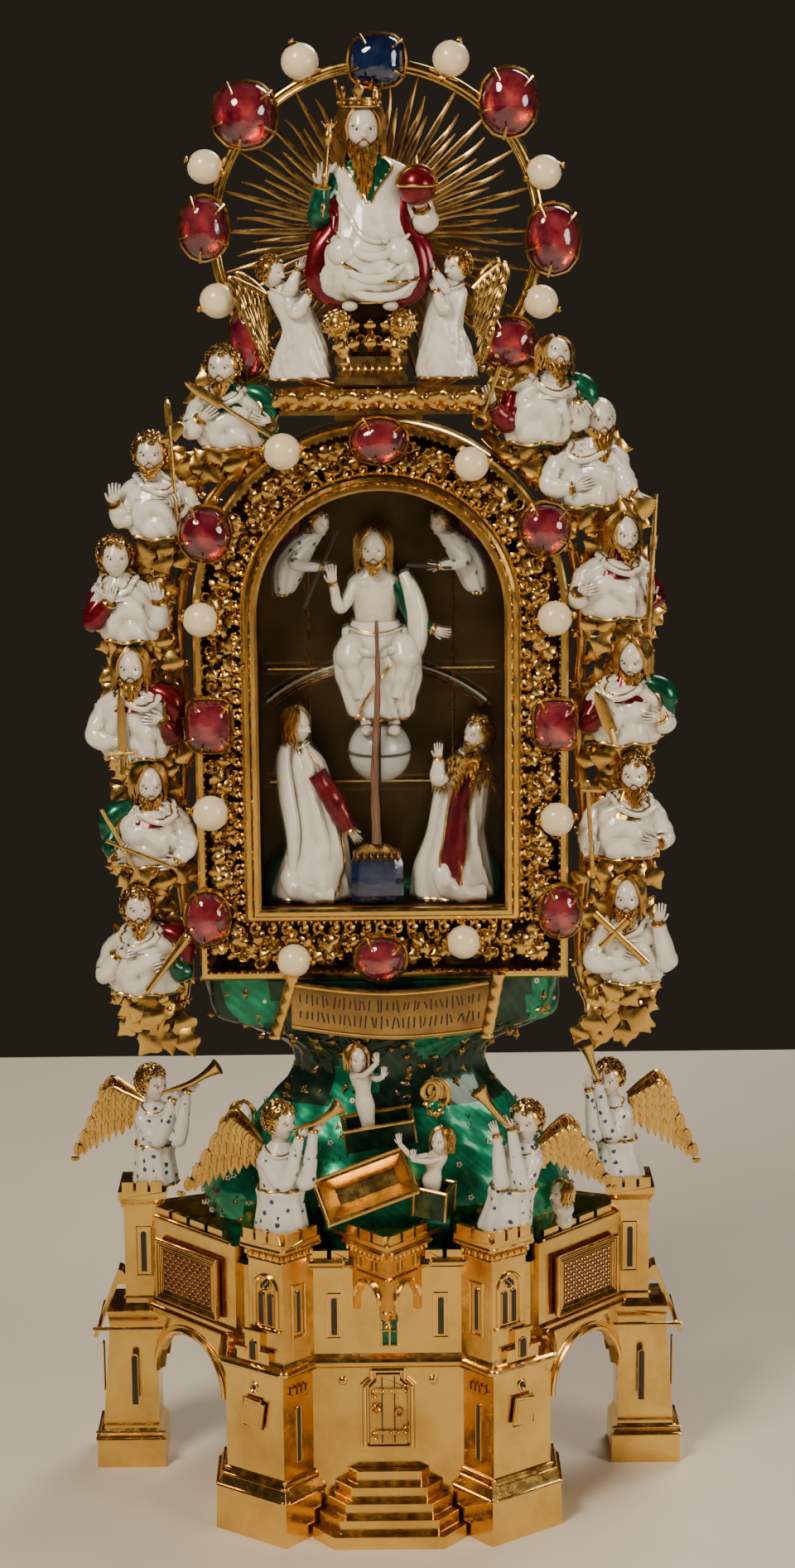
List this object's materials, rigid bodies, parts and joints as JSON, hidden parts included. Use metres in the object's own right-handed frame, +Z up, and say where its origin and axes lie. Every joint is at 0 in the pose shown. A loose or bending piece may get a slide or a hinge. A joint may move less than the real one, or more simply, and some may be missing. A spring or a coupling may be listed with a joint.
{
  "type": "reliquary",
  "caption": "Gold and enamel reliquary: a castle and a hill carry an arched shrine with a crystal window, set round with figures, stones and pearls, under a crowned figure in a ring of rays.",
  "frame": {"origin": "centre of the underside of the object's box, on the surface it stands on", "axes": "+Z up, the front looks towards -Y, +X is the viewer's right"},
  "size_m": [0.138, 0.07, 0.305],
  "materials": {
    "gold": "polished gold, worn and scratched",
    "white_enamel": "glossy ivory-white enamel over gold",
    "green_enamel": "translucent green enamel with fine hatching",
    "red_enamel": "translucent red enamel",
    "sapphire": "polished deep blue sapphire",
    "ruby": "polished pinkish-red cabochon",
    "pearl": "cream pearl with a soft sheen",
    "crystal": "clear polished rock crystal",
    "thorn": "dry dull brown thorn"
  },
  "bodies": {
    "root": {"apostle_left_1": "white_enamel", "apostle_left_2": "white_enamel", "apostle_left_3": "white_enamel", "apostle_left_4": "white_enamel", "apostle_left_5": "white_enamel", "apostle_left_6": "white_enamel", "apostle_right_1": "white_enamel", "apostle_right_2": "white_enamel", "apostle_right_3": "white_enamel", "apostle_right_4": "white_enamel", "apostle_right_5": "white_enamel", "apostle_right_6": "white_enamel", "aureole": "gold", "banner": "gold", "castle": "gold", "coffin_lid": "gold", "coffin_right": "gold", "coffin_upper": "gold", "crest": "gold", "crowned_figure": "white_enamel", "crystal_window": "crystal", "foliage_left": "gold", "foliage_right": "gold", "gate_door": "gold", "gate_stairs": "gold", "heaven_angel_left": "white_enamel", "heaven_angel_right": "white_enamel", "judge": "white_enamel", "kneeler_left": "white_enamel", "kneeler_right": "white_enamel", "kneeling_angel_left": "white_enamel", "kneeling_angel_left_wings": "gold", "kneeling_angel_right": "white_enamel", "kneeling_angel_right_wings": "gold", "lattice_left": "gold", "lattice_right": "gold", "mound": "green_enamel", "rainbow": "white_enamel", "risen_far_right": "white_enamel", "risen_left": "white_enamel", "risen_right": "white_enamel", "risen_upper": "white_enamel", "shrine_housing": "gold", "thorn": "thorn", "thorn_sapphire": "sapphire", "throne": "gold", "top_sapphire": "sapphire", "trumpet_angel_1": "white_enamel", "trumpet_angel_2": "white_enamel", "trumpet_angel_3": "white_enamel", "trumpet_angel_4": "white_enamel", "window_bezel": "gold", "wings_1": "gold", "wings_2": "gold", "wings_3": "gold", "wings_4": "gold", "wire_tuft": "gold"}
  },
  "joints": []
}
